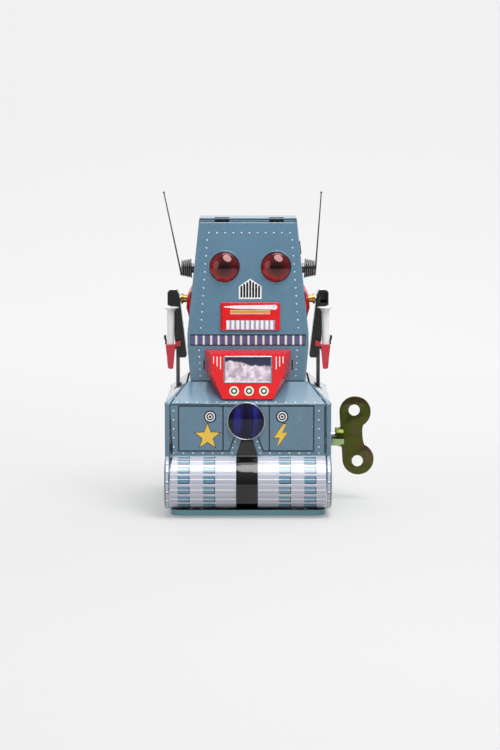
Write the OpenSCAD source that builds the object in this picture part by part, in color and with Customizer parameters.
// Wind-up tin robot on a tracked base: folded tin shells over a clockwork motor.
// Lengths are in millimetres. +Z is up, the face looks along -Y and the key is on the +X side.
// The floor is z = 0. The pieces are drawn about the toy's mid-plane and moved as one by at_middle().

/* [Base] */
// Half the width of the front-to-back sheet
wrap_half = 38.6; // [37.6:0.2:39]
// Distance from the mid-plane to the outer face of a side panel
side_half = 41.4; // [41:0.2:43]
// Distance from the middle to the front and rear panels
wall_y = 43; // [42:0.5:45]
// Radius of the rounded track at each end
tread_r = 13; // [12:0.5:13.5]
// Height of the centre of that rounding
tread_z = 16.5; // [16.5:0.5:18]
// Height where the panels fold over into the slopes
knee_z = 56; // [55:0.5:58]
// Height of the deck
deck_z = 65.4; // [64:0.2:67]
// Distance from the middle to the front edge of the deck
deck_y = 27; // [26:0.5:28]
// Thickness of the tin
tin = 0.5; // [0.4:0.05:0.6]

/* [Body] */
// Half the width of the head at the belt
belt_half = 30.5; // [30:0.1:30.8]
// Half the depth of the head at the belt
belt_y = 26.5; // [26:0.5:27]
// Height of the lower edge of the belt
belt_z = 83.2; // [82:0.2:84]
// Height of the upper edge of the belt
chin_z = 89.3; // [88:0.2:90]
// Height of the top of the head
crown_z = 146.7; // [144:0.2:149]
// Half the width of the top of the head
crown_half = 24.6; // [24:0.2:26]
// Half the depth of the top of the head
crown_y = 20; // [19:0.5:21]
// Sideways offset of the face's features
face_x = 1.1; // [-1:0.1:2]
// Distance of an eye from the middle of the face
eye_x = 12.95; // [12:0.1:14]
// Height of the eyes
eye_z = 122.7; // [121:0.2:124]
// Radius of an eye dome
eye_r = 7.6; // [7:0.1:8]

/* [Arms and antennas] */
// Height of the shoulder pins
shoulder_z = 105.6; // [105:0.2:106.4]
// Front-to-back place of the shoulder pins and the levers
shoulder_y = -4; // [-5:0.5:-4]
// Distance between the flanges of an arm
arm_w = 11; // [11:0.5:12]
// Height of the coils of the antennas
coil_z = 120.9; // [120:0.2:122]
// Mean radius of a coil
coil_r = 4; // [3.8:0.1:4.2]
// Diameter of the antenna wire
wire_d = 0.9; // [0.8:0.1:1]
// Height of the antenna tips
tip_z = 159.6; // [155:0.2:165]
// Distance of the left tip from the mid-plane
tip_x_left = 43; // [40:0.5:44]
// Distance of the right tip from the mid-plane
tip_x_right = 37.4; // [36:0.2:44]

/* [Key] */
// Height of the winding shaft
shaft_z = 34; // [34:0.2:35]
// Front-to-back place of the winding shaft
shaft_y = 4; // [4:0.5:5]
// Distance of the key's lobes from the mid-plane
lobe_x = 56.2; // [55:0.1:60]
// Half the distance between the two lobes
lobe_v = 12.35; // [12:0.05:14]
// Radius of a lobe
lobe_r = 8.1; // [7:0.1:8.5]
// Radius of the hole in a lobe
lobe_hole_r = 2.9; // [2.5:0.05:3.2]
// Half the distance between the middles of the key's finger holes
hole_v = 13.25; // [13:0.05:13.5]
// Lean of the key's plate
key_lean = 3.8; // [0:0.1:4]

/* [Clockwork] */
// Module of the gear teeth
gear_m = 0.65; // [0.65:0.01:0.66]
// Radius of a wheel
wheel_r = 9; // [8.5:0.25:9]
// Distance of each axle from the middle
axle_y = 27; // [26.5:0.25:27.5]
// Distance from the mid-plane to a motor plate's inner face
plate_x = 14.5; // [14:0.5:15]

/* [Hidden] */
$fn = 64;

// Running clearance of a shaft in its hole, on the radius
run = 0.05;
// Gap along a seam between two sheets
seam = 0.15;
// Overrun of a cutter
over = 1;

// Base
tray_z = 1.2;
tray_half = 38.6;
tray_y = 52;
tray_corner = 6;
tray_rim = 2.9;
hull_low = tread_z - tread_r;
deck_half = 30.6;
seam_deck_half = 29.3;
slope_a = atan2(deck_z - knee_z, wall_y - deck_y);
side_slope_a = atan2(deck_z - knee_z, side_half - deck_half);
lens_x = -0.9;
lens_z = 47.4;
lens_r = 9;
strip_half = 5.3;
strip_x = -0.5;
strip_t = 0.2;

// Gear teeth
gear_pressure = 20;
gear_backlash = 0.12;
great_teeth = 48;
second_teeth = 42;
crank_teeth = 24;
pinion_teeth = 12;
governor_teeth = 10;
gear_t = 2;
great_x = -1.5;
second_x = 6;

// Shaft places as [y, z], worked out so that every pair of gears is in mesh
function pitch_r(teeth) = teeth * gear_m / 2;
function span(a, b) = pitch_r(a) + pitch_r(b);
shaft_1 = [shaft_y, shaft_z];
shaft_3 = [axle_y, wheel_r];
d12 = span(great_teeth, pinion_teeth);
d23 = span(second_teeth, pinion_teeth);
d13 = norm(shaft_3 - shaft_1);
along_13 = (d12 * d12 - d23 * d23 + d13 * d13) / (2 * d13);
aside_13 = sqrt(d12 * d12 - along_13 * along_13);
unit_13 = (shaft_3 - shaft_1) / d13;
shaft_2 = shaft_1 + along_13 * unit_13 + aside_13 * [-unit_13[1], unit_13[0]];
governor_a = 80;
shaft_4 = shaft_2 + span(second_teeth, governor_teeth) * [cos(governor_a), sin(governor_a)];
d15 = span(great_teeth, crank_teeth);
shaft_5 = [shoulder_y, shaft_z - sqrt(d15 * d15 - (shaft_y - shoulder_y) * (shaft_y - shoulder_y))];
front_shaft = [-axle_y, wheel_r];
arbor_r = 2;
shaft_r = 1.25;

// The angle of gear b that meshes with gear a: tooth against gap on the line between their centres
function bearing(a, b) = atan2(b[1] - a[1], b[0] - a[0]);
function mesh_angle(angle_a, teeth_a, teeth_b, line) =
  line + 180 + 180 / teeth_b - (angle_a - line) * teeth_a / teeth_b;
great_angle = bearing(shaft_1, shaft_2);
second_pinion_angle = mesh_angle(great_angle, great_teeth, pinion_teeth, great_angle);
crank_gear_angle = mesh_angle(great_angle, great_teeth, crank_teeth, bearing(shaft_1, shaft_5));
second_angle = bearing(shaft_2, shaft_3);
axle_pinion_angle = mesh_angle(second_angle, second_teeth, pinion_teeth, second_angle);
governor_angle = mesh_angle(second_angle, second_teeth, governor_teeth, bearing(shaft_2, shaft_4));

// Levers and arms
lever_x = 35.9;
lever_t = 1.8;
lever_w = 4;
lever_pivot_z = 28;
crank_throw = 1.4;
drive_pin_z = 80.5;
drive_pin_r = 0.8;
arm_low = 75.8;
arm_top = 110.4;
web_top_x = 34.9;
web_low_x = 31.2;
gun_x = 39.2;
gun_y = -14.2;
shoulder_pin_r = 1.5;

// The whole model's box is centred on x = 0 by this shift of the mid-plane, and on y = 0 by half the strip
tip_ball_r = 0.6;
key_reach = lobe_x + lobe_v * sin(key_lean) + lobe_r;
mid_x = -(key_reach - (tip_x_left + tip_ball_r)) / 2;
module at_middle() { translate([mid_x, strip_t / 2, 0]) children(); }
module on_left() { mirror([1, 0, 0]) children(); }

// An outline in (y, z), extruded along X
module across(x0, x1) { translate([x0, 0, 0]) rotate([90, 0, 90]) linear_extrude(x1 - x0) children(); }
// An outline in (x, z), extruded along Y
module along_y(y0, y1) { translate([0, y1, 0]) rotate([90, 0, 0]) linear_extrude(y1 - y0) children(); }
// A round bar along X, centred on p = [y, z]
module rod(x0, x1, r, p) { translate([x0, p[0], p[1]]) rotate([0, 90, 0]) cylinder(h = x1 - x0, r = r); }
// A closed form through rectangles [z, half width, half depth]
module loft(rings) {
  corners = [[-1, -1], [1, -1], [1, 1], [-1, 1]];
  n = len(rings) - 1;
  polyhedron(
    points = [for (r = rings, c = corners) [c[0] * r[1], c[1] * r[2], r[0]]],
    faces = concat(
      [[0, 1, 2, 3], [4 * n + 3, 4 * n + 2, 4 * n + 1, 4 * n]],
      [for (i = [0:n - 1], j = [0:3]) [4 * i + j, 4 * i + 4 + j, 4 * i + 4 + (j + 1) % 4, 4 * i + (j + 1) % 4]]
    )
  );
}
module rounded_rect(half_x, half_y, r) {
  square([2 * half_x, 2 * (half_y - r)], center = true);
  square([2 * (half_x - r), 2 * half_y], center = true);
  for (sx = [-1, 1], sy = [-1, 1]) translate([sx * (half_x - r), sy * (half_y - r)]) circle(r = r);
}

// ---- Base shells ----

// The base seen from the side, o inside its outer face; low is where its straight part ends
module base_profile(o, low) {
  knee = [wall_y - o, knee_z - o * tan((90 - slope_a) / 2)];
  brow = [deck_y - o * tan(slope_a / 2), deck_z - o];
  polygon([[-knee[0], low], [knee[0], low], knee, brow, [-brow[0], brow[1]], [-knee[0], knee[1]]]);
  for (s = [-1, 1]) translate([s * wall_y, tread_z]) circle(r = tread_r - o, $fn = 96);
}
// The base seen from the front, o inside its outer face
module base_front(o) {
  knee = [side_half - o, knee_z - o * tan((90 - side_slope_a) / 2)];
  brow = [deck_half - o * tan(side_slope_a / 2), deck_z + over];
  polygon([[-knee[0], -over], [knee[0], -over], knee, brow, [-brow[0], brow[1]], [-knee[0], knee[1]]]);
}
// The part of the front view that the wrap covers, grown by gap
module wrap_front(gap) {
  half = wrap_half + gap;
  brow = seam_deck_half + gap;
  knee = knee_z - 0.4;
  polygon([[-half, -over], [half, -over], [half, knee], [brow, deck_z + over], [-brow, deck_z + over], [-half, knee]]);
}
module hull_wrap() {
  color("slategray") difference() {
    intersection() {
      across(-side_half, side_half) base_profile(0, hull_low);
      along_y(-60, 60) wrap_front(0);
    }
    across(-side_half, side_half) base_profile(tin, -over);
    translate([lens_x, 0, lens_z]) rotate([90, 0, 0]) cylinder(h = 60, r = lens_r - 1);
  }
}
module side_pan(with_key) {
  slot_y = shoulder_y;
  color("slategray") difference() {
    intersection() {
      across(0, side_half) base_profile(0, hull_low);
      along_y(-60, 60) base_front(0);
    }
    intersection() {
      across(-over, side_half) base_profile(tin, hull_low + tin);
      along_y(-60, 60) base_front(tin);
    }
    along_y(-60, 60) wrap_front(seam);
    translate([lever_x - 2, slot_y - 6, knee_z + 1]) cube([4, 12, 12]);
    rod(side_half - 2, side_half + over, shoulder_pin_r, [shoulder_y, lever_pivot_z]);
    if (with_key) rod(side_half - 2, side_half + over, arbor_r + 1, shaft_1);
  }
}
module base_plate() {
  color("darkslategray") difference() {
    translate([0, 0, tray_z]) linear_extrude(tray_rim) rounded_rect(tray_half, tray_y, tray_corner);
    translate([0, 0, tray_z + tin]) linear_extrude(tray_rim)
      rounded_rect(tray_half - tin, tray_y - tin, tray_corner - tin);
    for (s = [-1, 1], p = [-1, 1]) translate([s * 26, p * axle_y, 0]) cube([7, 15, 8], center = true);
    // Room for the wrap and the side panels, which end inside the tray
    across(-side_half, side_half) base_profile(-seam, hull_low - seam);
  }
}
module centre_strip() {
  low = tread_z + tread_r;
  top = lens_z - lens_r - 0.6;
  panel = [[-1, low], [1, low], [0.56, top], [-0.56, top]];
  color("black") translate([strip_x, 0, 0]) {
    difference() {
      across(-strip_half, strip_half) difference() {
        translate([-wall_y, tread_z]) circle(r = tread_r + strip_t, $fn = 96);
        translate([-wall_y, tread_z]) circle(r = tread_r, $fn = 96);
      }
      translate([-20, -wall_y, -over]) cube([40, 40, 60]);
    }
    along_y(-wall_y - strip_t, -wall_y) polygon([for (p = panel) [p[0] * strip_half, p[1]]]);
  }
}
module lens_bezel() {
  color("silver") translate([lens_x, -wall_y, lens_z]) rotate([90, 0, 0]) difference() {
    union() {
      cylinder(h = 1.8, r = lens_r + 0.5);
      translate([0, 0, -tin]) cylinder(h = tin, r = lens_r - 1);
    }
    translate([0, 0, 0.6]) cylinder(h = 2, r = lens_r);
    translate([0, 0, -2]) cylinder(h = 4, r = lens_r - 1.6);
  }
}
module front_lens() {
  dome_r = 26;
  rise = dome_r - sqrt(dome_r * dome_r - lens_r * lens_r);
  color("midnightblue") translate([lens_x, -wall_y - 0.6, lens_z]) rotate([90, 0, 0]) intersection() {
    cylinder(h = 5, r = lens_r - 0.03);
    translate([0, 0, rise + 0.9 - dome_r]) sphere(r = dome_r, $fn = 96);
  }
}

// ---- Body shells ----

// The body as rectangles [z, half width, half depth], o inside its outer face
function body_rings(o, low, high) = [
  [low, seam_deck_half - 0.3 - o, deck_y - o],
  [belt_z, belt_half - o, belt_y - o],
  [chin_z, belt_half - o, belt_y - o],
  [high, crown_half - o, crown_y - o],
];
face_a = atan2(belt_y - crown_y, crown_z - chin_z);
side_a = atan2(belt_half - crown_half, crown_z - chin_z);
function face_y(z) = -belt_y + (z - chin_z) * tan(face_a);
function cheek_x(z) = belt_half - (z - chin_z) * tan(side_a);
fold = 3;
// A place on the face: x to the right, y up the face, z out of it
module on_face(x, z) { translate([x, face_y(z), z]) rotate([90 - face_a, 0, 0]) children(); }
module body_shell() {
  difference() {
    loft(body_rings(0, deck_z, crown_z));
    loft(body_rings(tin, deck_z - over, crown_z + over));
  }
}
// The front sheet with its folded edges, seen from the side
module front_band() {
  across(-40, 40) polygon([
    [-deck_y - over, deck_z - over], [-deck_y + fold, deck_z - over], [-belt_y + fold, belt_z],
    [-belt_y + fold, chin_z], [-crown_y + fold, crown_z + over], [-belt_y - over, crown_z + over],
  ]);
}
module torso_front() {
  mouth = [30, 14, 1];
  color("lightslategray") {
    difference() {
      intersection() {
        body_shell();
        front_band();
      }
      for (s = [-1, 1]) on_face(face_x + s * eye_x, eye_z) cylinder(h = 8, r = eye_r - 0.4, center = true);
    }
    on_face(face_x, chin_z + 9) translate([-mouth[0] / 2, -mouth[1] / 2, -0.1]) difference() {
      cube(mouth);
      translate([3, 8.6, 0.5]) cube([24, 2.2, 1]);
      translate([3, 0.8, 0.5]) cube([24, 5, 1]);
    }
  }
}
module torso_wrap() {
  color("slategray") difference() {
    body_shell();
    front_band();
    rod(-40, 40, shoulder_pin_r, [shoulder_y, shoulder_z]);
    rod(-40, 40, 1, [0, coil_z]);
  }
}
module head_lid() {
  color("lightslategray") {
    translate([0, 0, crown_z]) linear_extrude(tin) rounded_rect(crown_half, crown_y, 1);
    difference() {
      translate([0, 0, crown_z - 2]) linear_extrude(2) rounded_rect(crown_half - 0.6, crown_y - 0.6, 1);
      translate([0, 0, crown_z - 3]) linear_extrude(3) rounded_rect(crown_half - 1.1, crown_y - 1.1, 0.6);
    }
  }
}
module head_tabs() {
  color("black") for (x = [-16.7, 10.6]) translate([x, -crown_y + 0.4, crown_z + tin]) cube([7.4, 2.4, 0.4]);
}
module eye() {
  dome_r = 9.2;
  sink = sqrt(dome_r * dome_r - eye_r * eye_r);
  color("darkred") {
    difference() {
      translate([0, 0, -sink]) sphere(r = dome_r, $fn = 96);
      translate([0, 0, -sink]) sphere(r = dome_r - 1, $fn = 96);
      translate([0, 0, -20]) cube([40, 40, 40], center = true);
    }
    translate([0, 0, -tin - 1]) difference() {
      cylinder(h = 1, r = eye_r + 0.9);
      translate([0, 0, -1]) cylinder(h = 3, r = eye_r - 1.4);
    }
    translate([0, 0, -tin]) difference() {
      cylinder(h = tin + 0.2, r = eye_r - 0.5);
      translate([0, 0, -1]) cylinder(h = 3, r = eye_r - 1.4);
    }
  }
}
module eye_left() { on_face(face_x - eye_x, eye_z) eye(); }
module eye_right() { on_face(face_x + eye_x, eye_z) eye(); }

// ---- Chest ----

chest_low = [-41.4, 57.3];
chest_high = [-34.5, 80.6];
chest_a = atan2(chest_high[0] - chest_low[0], chest_high[1] - chest_low[1]);
chest_len = norm(chest_high - chest_low);
// Half widths of the chest at the bottom, at the corner and at the top: front face and back edge
chest_front_half = [12.6, 18, 18.4];
chest_back_half = [13.8, 21.2, 21.8];
chest_corner = 13.6;
window = [23.4, 13];
window_low = 9.2;
module on_chest() { translate([0, chest_low[0], chest_low[1]]) rotate([90 - chest_a, 0, 0]) children(); }
module hexagon(half, corner, low, high) {
  polygon([
    [-half[0], low], [half[0], low], [half[1], corner], [half[2], high], [-half[2], high], [-half[1], corner],
  ]);
}
module chest_block(o) {
  front = [for (h = chest_front_half) h - o];
  back = [for (h = chest_back_half) h - o];
  hull() {
    on_chest() translate([0, 0, -o - 0.1]) linear_extrude(0.1)
      hexagon(front, chest_corner, 0.7 + o, chest_len - 0.7 - o);
    along_y(-26 - o, -25.9 - o) hexagon(back, chest_low[1] + chest_corner - 1, chest_low[1] - 1 + o, chest_high[1] + 0.8 - o);
  }
}
module chest_housing() {
  color("red") difference() {
    chest_block(0);
    chest_block(0.6);
    loft(body_rings(-0.05, deck_z - over, crown_z));
    across(-40, 40) base_profile(-0.05, 0);
    on_chest() translate([-window[0] / 2, window_low, -3]) cube([window[0], window[1], 6]);
  }
}
module chest_screen() {
  rim = 0.7;
  color("lightgray") on_chest() difference() {
    translate([-window[0] / 2 - rim, window_low - rim, -1.6]) cube([window[0] + 2 * rim, window[1] + 2 * rim, 0.9]);
    translate([-window[0] / 2 + rim, window_low + rim, -1]) cube([window[0] - 2 * rim, window[1] - 2 * rim, 1]);
  }
}

// ---- Ears, shoulders and arms, drawn on the right ----

ear_x = cheek_x(coil_z);
module ear_boss() {
  color("dimgray") {
    rod(ear_x - 3, ear_x + 0.5, 1, [0, coil_z]);
    rod(ear_x + 0.5, ear_x + 6.2, 2.5, [0, coil_z]);
  }
}
// Points of a ring of radius r about p, square to dir, which is never along X
function ring_at(p, dir, r, sides) =
  let (w = dir / norm(dir), u0 = cross(w, [1, 0, 0]), u = u0 / norm(u0), v = cross(w, u))
  [for (k = [0:sides - 1]) p + r * (cos(360 * k / sides) * u + sin(360 * k / sides) * v)];
// A wire along a path, with a radius for each point
module sweep(path, radii, sides) {
  n = len(path);
  rings = [
    for (i = [0:n - 1]) each ring_at(path[i], path[min(i + 1, n - 1)] - path[max(i - 1, 0)], radii[i], sides)
  ];
  walls = [
    for (i = [0:n - 2], k = [0:sides - 1]) let (a = i * sides, b = a + sides, m = (k + 1) % sides)
      [a + k, b + k, b + m, a + m]
  ];
  ends = [[for (k = [0:sides - 1]) k], [for (k = [sides - 1:-1:0]) (n - 1) * sides + k]];
  polyhedron(points = rings, faces = concat(ends, walls));
}
coil_turns = 5.2;
coil_pitch = 1.05;
coil_steps = 16;
coil_start_x = ear_x + 1.7;
coil_taper = 1.1;
function coil_point(a) =
  let (r = coil_r + coil_taper * (0.5 - a / 360 / coil_turns))
  [coil_start_x + coil_pitch * a / 360, -r * sin(a), coil_z - r * cos(a)];
// The coil runs round the ear boss, then turns up into the straight rod with its ball tip
module antenna(tip_x) {
  coil = [for (i = [0:floor(coil_turns * coil_steps)]) coil_point(i * 360 / coil_steps)];
  foot = coil[len(coil) - 1];
  tip = [tip_x, 0, tip_z];
  rise = (tip - foot) / norm(tip - foot);
  ball = [for (k = [0:4]) let (a = -60 + 37 * k) [tip_ball_r * sin(a), tip_ball_r * cos(a)]];
  path = concat(coil, [foot + 2 * rise], [for (b = ball) tip + b[0] * rise]);
  radii = [for (i = [0:len(path) - 1]) i > len(coil) ? ball[i - len(coil) - 1][1] : wire_d / 2];
  color("dimgray") sweep(path, radii, 8);
}
module shoulder_disc() {
  disc_z = 104.3;
  cup = [[1.8, 0], [8.3, 0], [8.3, 0.5], [3.8, 2.2], [1.8, 2.2]];
  color("crimson") difference() {
    translate([cheek_x(disc_z) + 0.02, shoulder_y, disc_z]) rotate([0, 90 - side_a, 0])
      rotate_extrude() polygon([for (p = cup) [p[0], p[1]]]);
    rod(20, 40, 1.8, [shoulder_y, shoulder_z]);
  }
}
module shoulder_pin() {
  p = [shoulder_y, shoulder_z];
  color("gray") {
    rod(26.4, 36.8, shoulder_pin_r, p);
    rod(36.1, 36.8, 2.4, p);
    rod(26.4, 27.4, 2.4, p);
  }
}
module shoulder_spacer() {
  p = [shoulder_y, shoulder_z];
  color("goldenrod") difference() {
    union() {
      rod(31.4, 34.2, 2, p);
      rod(33.1, 34.2, 2.6, p);
    }
    rod(30, 36, shoulder_pin_r, p);
  }
}
// The arm seen from the front: a slanting channel with a box at the shoulder
module arm_front(o) {
  polygon([
    [web_low_x + 0.8 + o, arm_low - o], [web_low_x + 3.8 - o, arm_low - o], [web_low_x + 4.7 - o, arm_low + 1],
    [37.4 - o, 85], [38.3 - o, 101.5 - o],
    [41 - o, 102.7 + o], [41 - o, 109.2 - o / 2], [39.8 - o / 2, arm_top - o], [36.2 + o / 2, arm_top - o],
    [web_top_x + o, 107.6], [web_low_x + 0.1 + o, arm_low + 0.9],
  ]);
}
module arm(open_box) {
  y0 = shoulder_y - arm_w / 2;
  y1 = shoulder_y + arm_w / 2;
  color("black") difference() {
    along_y(y0, y1) arm_front(0);
    along_y(y0 + tin, y1 - tin) arm_front(tin);
    // The channel is open outward below the shoulder box
    along_y(y0 + tin, y1 - tin)
      polygon([[web_low_x + 1.5, arm_low - over], [50, arm_low - over], [50, 101.5], [web_top_x + 0.6, 101.5]]);
    translate([0, y0 + tin, arm_low - over]) cube([50, arm_w - 2 * tin, 2 * over]);
    rod(30, 40, shoulder_pin_r + run, [shoulder_y, shoulder_z]);
    if (open_box) translate([36.4, y0 - over, 103.8]) cube([3.6, 2, 5.4]);
  }
  color("goldenrod") {
    rod(web_at(drive_pin_z), lever_x + 2.2, drive_pin_r, [shoulder_y, drive_pin_z]);
    rod(lever_x + 1.3, lever_x + 2.2, 1.7, [shoulder_y, drive_pin_z]);
  }
}
function web_at(z) = web_low_x + 0.3 + (z - arm_low) * (web_top_x - web_low_x) / (107.6 - arm_low);
module gun_barrel() {
  tube = [[0, 0], [1.7, 0], [2, 16.8], [2.6, 17.9], [4.2, 18.6], [4.2, 19], [1.5, 18], [1.1, 4], [0, 4]];
  color("ivory") translate([gun_x, gun_y, 83]) rotate_extrude() polygon(tube);
}
module gun_grip() {
  flange_y = shoulder_y - arm_w / 2;
  color("crimson") {
    along_y(gun_y - 2.5, gun_y + 2.2)
      polygon([
        [gun_x - 1.2, 70.8], [gun_x + 0.6, 70.6], [gun_x + 1.5, 71.4], [gun_x + 1.9, 76.4], [gun_x + 1.7, 76.7],
        [gun_x + 2, 77], [gun_x + 2.6, 82.6], [gun_x + 2.2, 83], [gun_x - 2.2, 83], [gun_x - 1.8, 77],
      ]);
    along_y(gun_y - 0.5, flange_y)
      polygon([[gun_x - 5, 82.4], [gun_x - 2, 81.6], [gun_x - 2, 83], [gun_x - 2.5, 84], [gun_x - 5, 85]]);
  }
}
module gun_trigger() {
  color("black") along_y(gun_y - 0.4, gun_y + 0.4) polygon([
    [gun_x + 2, 83], [gun_x + 3, 83], [gun_x + 2.9, 84.6], [gun_x + 3.5, 86.2], [gun_x + 3.5, 87.6],
    [gun_x + 2.3, 87.8], [gun_x + 2.3, 86.4], [gun_x + 2, 85.2],
  ]);
}
module lever() {
  x0 = lever_x - lever_t / 2;
  low = shaft_5[1] - crank_throw - 2.4;
  high = drive_pin_z + 4;
  color("dimgray") difference() {
    union() {
      translate([x0, shoulder_y - lever_w / 2, low]) cube([lever_t, lever_w, high - low]);
      rod(x0, x0 + lever_t, 3.4, [shoulder_y, lever_pivot_z]);
    }
    rod(x0 - over, x0 + lever_t + over, shoulder_pin_r + run, [shoulder_y, lever_pivot_z]);
    // The slot that the arm's drive pin slides in
    translate([x0 - over, shoulder_y - drive_pin_r - 0.2, drive_pin_z - 1.2]) cube([4, 2 * drive_pin_r + 0.4, 4]);
  }
}
module lever_pins() {
  p = [shoulder_y, lever_pivot_z];
  color("gray") for (s = [0, 1]) mirror([s, 0, 0]) {
    rod(lever_x - 1.8, side_half, shoulder_pin_r, p);
    rod(lever_x - 1.8, lever_x - 1.1, 2.6, p);
    rod(lever_x + lever_t / 2 + 0.3, side_half - tin, 2.6, p);
  }
}

// ---- Clockwork ----

function involute(a) = tan(a) * 180 / PI - a;
function polar(r, a) = r * [cos(a), sin(a)];
// Half the angle that a tooth takes up at radius r
function tooth_half(teeth, r) =
  let (base = pitch_r(teeth) * cos(gear_pressure))
  90 / teeth * (1 - gear_backlash) + involute(gear_pressure) - involute(acos(min(1, base / r)));
module gear_outline(teeth, angle) {
  root = pitch_r(teeth) - 1.2 * gear_m;
  tip = pitch_r(teeth) + 0.85 * gear_m;
  radii = [root, pitch_r(teeth), tip];
  polygon([for (i = [0:teeth - 1]) let (a = angle + i * 360 / teeth) each concat(
    [for (k = [0:2]) polar(radii[k], a - tooth_half(teeth, radii[k]))],
    [for (k = [2:-1:0]) polar(radii[k], a + tooth_half(teeth, radii[k]))]
  )]);
}
module gear(x0, t, teeth, angle, p, bore) {
  across(x0, x0 + t) translate(p) difference() {
    gear_outline(teeth, angle);
    circle(r = bore);
  }
}
module motor_plate(x0) {
  shafts = [[shaft_1, arbor_r], [shaft_2, shaft_r], [shaft_3, shaft_r], [shaft_4, shaft_r], [shaft_5, shaft_r],
            [front_shaft, shaft_r]];
  color("silver") across(x0, x0 + 1) difference() {
    polygon([[-33, 1.7], [39, 1.7], [39, 44], [34, 50], [-14, 50], [-20, 30], [-33, 16]]);
    for (s = shafts) translate(s[0]) circle(r = s[1] + run);
  }
}
pillars = [[-15, 33], [-11, 47], [36, 8], [36, 42]];
module motor_pillars() { color("silver") for (p = pillars) rod(-plate_x, plate_x, 1.4, p); }
module mainspring() {
  turns = 5;
  steps = 20;
  inner = 4.2;
  grow = 1.75;
  ribbon = 0.5;
  angles = [for (i = [0:turns * steps]) i * 360 / steps];
  function coil_radius(a) = inner + grow * a / 360;
  color("darkgray") across(-13, -3) translate(shaft_1) polygon(concat(
    [for (a = angles) polar(coil_radius(a), a)],
    [for (i = [len(angles) - 1:-1:0]) polar(coil_radius(angles[i]) + ribbon, angles[i])]
  ));
}
module winding_arbor() {
  color("gray") {
    rod(-plate_x - 2, 46, arbor_r, shaft_1);
    rod(-13, -3, 3.4, shaft_1);
  }
}
module great_gear() {
  color("goldenrod") {
    gear(great_x, gear_t, great_teeth, great_angle, shaft_1, arbor_r);
    rod(great_x + gear_t, great_x + gear_t + 2.4, 0.8, shaft_1 + polar(click_arm, click_bearing));
  }
}
click_arm = 9;
click_bearing = -100;
ratchet_x = great_x + gear_t + 0.6;
module ratchet_wheel() {
  teeth = 12;
  face = 35.5;
  step = 360 / teeth;
  color("gray") across(ratchet_x, ratchet_x + 1.6) translate(shaft_1) difference() {
    polygon([for (i = [0:teeth - 1]) let (a = click_bearing + face + i * step) each [
      polar(4.3, a - 0.5), polar(5.5, a), polar(4.9, a + step / 2)
    ]]);
    circle(r = arbor_r);
  }
}
module click() {
  color("gray") across(ratchet_x, ratchet_x + 1.6) translate(shaft_1) rotate(click_bearing) difference() {
    union() {
      translate([click_arm, 0]) circle(r = 1.7);
      polygon([[click_arm + 1, 1.4], [4.8, 3.5], [4.25, 2.25], [click_arm - 0.6, -1.6]]);
    }
    translate([click_arm, 0]) circle(r = 0.8 + run);
  }
}
module second_arbor() {
  color("gray") {
    rod(-plate_x - 1.6, plate_x + 1.6, shaft_r, shaft_2);
    gear(great_x - 0.6, gear_t + 1.2, pinion_teeth, second_pinion_angle, shaft_2, shaft_r / 2);
  }
}
module second_gear() { color("goldenrod") gear(second_x, gear_t, second_teeth, second_angle, shaft_2, shaft_r); }
module rear_axle() {
  color("gray") {
    rod(-31, 31, shaft_r, shaft_3);
    gear(second_x - 0.6, gear_t + 1.2, pinion_teeth, axle_pinion_angle, shaft_3, shaft_r / 2);
  }
}
module front_axle() { color("gray") rod(-31, 31, shaft_r, front_shaft); }
module wheel(p) {
  color("dimgray") difference() {
    rod(24, 28, wheel_r, p);
    rod(23, 25, wheel_r - 2.5, p);
    rod(27, 29, wheel_r - 2.5, p);
    rod(20, 30, shaft_r, p);
  }
}
module governor_arbor() {
  color("gray") {
    rod(-plate_x - 1.6, plate_x + 1.6, shaft_r, shaft_4);
    gear(second_x - 0.6, gear_t + 1.2, governor_teeth, governor_angle, shaft_4, shaft_r / 2);
  }
}
module governor_weight() {
  color("goldenrod") difference() {
    union() {
      rod(10, 13, 3, shaft_4);
      across(10.5, 12.5) translate(shaft_4) {
        square([12, 3.4], center = true);
        for (s = [-1, 1]) translate([s * 4.6, 0]) circle(r = 2.4);
      }
    }
    rod(9, 14, shaft_r, shaft_4);
  }
}
module crank_shaft() { color("gray") rod(-33.2, 33.2, shaft_r, shaft_5); }
module crank_gear() { color("goldenrod") gear(great_x, gear_t, crank_teeth, crank_gear_angle, shaft_5, shaft_r); }
// Both pins are drawn for mirror-image pieces; turn puts the left crank half a turn from the right one
module crank_disc(turn) {
  color("gray") {
    difference() {
      rod(31.6, 33.6, 4, shaft_5);
      rod(30, 35, shaft_r, shaft_5);
    }
    rod(33.6, 34.7, 0.8, shaft_5 + polar(crank_throw + 0.6, turn));
  }
}

// ---- Key ----

module key_outline() {
  left = lobe_x - lobe_r;
  difference() {
    union() {
      for (s = [-1, 1]) translate([lobe_x, s * lobe_v]) circle(r = lobe_r);
      polygon([[left, lobe_v], [59.3, lobe_v], [59.3, -lobe_v], [left, -lobe_v]]);
      polygon([[45.4, 1], [left, 5.4], [left, -5.4], [45.4, -4.6]]);
    }
    for (s = [-1, 1]) translate([lobe_x - 0.4, s * hole_v]) circle(r = lobe_hole_r);
  }
}
module key() {
  plate_t = 1.1;
  stem_r = 4.2;
  color("darkolivegreen") difference() {
    union() {
      translate([lobe_x, shaft_y, shaft_z]) rotate([0, -key_lean, 0]) translate([-lobe_x, 0, 0])
        along_y(-plate_t / 2, plate_t / 2) key_outline();
      rod(43.2, 50, stem_r, shaft_1);
    }
    rod(40, 46, arbor_r, shaft_1);
    rod(46, 51, stem_r - 1, shaft_1);
  }
}

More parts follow.
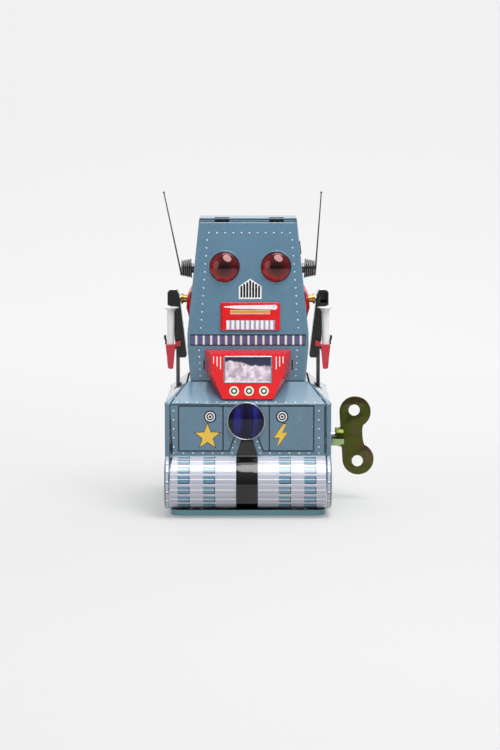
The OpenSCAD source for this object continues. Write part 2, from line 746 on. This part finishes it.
at_middle() base_plate();
at_middle() hull_wrap();
at_middle() on_left() side_pan(false);  // side_pan_left
at_middle() side_pan(true);  // side_pan_right
at_middle() centre_strip();
at_middle() lens_bezel();
at_middle() front_lens();
at_middle() torso_front();
at_middle() torso_wrap();
at_middle() head_lid();
at_middle() head_tabs();
at_middle() eye_left();
at_middle() eye_right();
at_middle() chest_housing();
at_middle() chest_screen();
at_middle() on_left() shoulder_disc();  // shoulder_disc_left
at_middle() shoulder_disc();  // shoulder_disc_right
at_middle() on_left() shoulder_pin();  // shoulder_pin_left
at_middle() shoulder_pin();  // shoulder_pin_right
at_middle() on_left() shoulder_spacer();  // shoulder_spacer_left
at_middle() shoulder_spacer();  // shoulder_spacer_right
at_middle() on_left() ear_boss();  // ear_boss_left
at_middle() ear_boss();  // ear_boss_right
at_middle() motor_plate(-plate_x - 1);  // motor_plate_left
at_middle() motor_plate(plate_x);  // motor_plate_right
at_middle() motor_pillars();
at_middle() mainspring();
at_middle() lever_pins();
at_middle() key();
at_middle() winding_arbor();
at_middle() great_gear();
at_middle() ratchet_wheel();
at_middle() click();
at_middle() second_arbor();
at_middle() second_gear();
at_middle() rear_axle();
at_middle() on_left() wheel(shaft_3);  // rear_wheel_left
at_middle() wheel(shaft_3);  // rear_wheel_right
at_middle() front_axle();
at_middle() on_left() wheel(front_shaft);  // front_wheel_left
at_middle() wheel(front_shaft);  // front_wheel_right
at_middle() governor_arbor();
at_middle() governor_weight();
at_middle() crank_shaft();
at_middle() crank_gear();
at_middle() on_left() crank_disc(180);  // crank_disc_left
at_middle() crank_disc(0);  // crank_disc_right
at_middle() on_left() lever();  // lever_left
at_middle() lever();  // lever_right
at_middle() on_left() arm(false);  // arm_left
at_middle() arm(true);  // arm_right
at_middle() on_left() gun_barrel();  // gun_barrel_left
at_middle() gun_barrel();  // gun_barrel_right
at_middle() on_left() gun_grip();  // gun_grip_left
at_middle() gun_grip();  // gun_grip_right
at_middle() on_left() gun_trigger();  // gun_trigger_left
at_middle() gun_trigger();  // gun_trigger_right
at_middle() on_left() antenna(tip_x_left);  // antenna_left
at_middle() antenna(tip_x_right);  // antenna_right
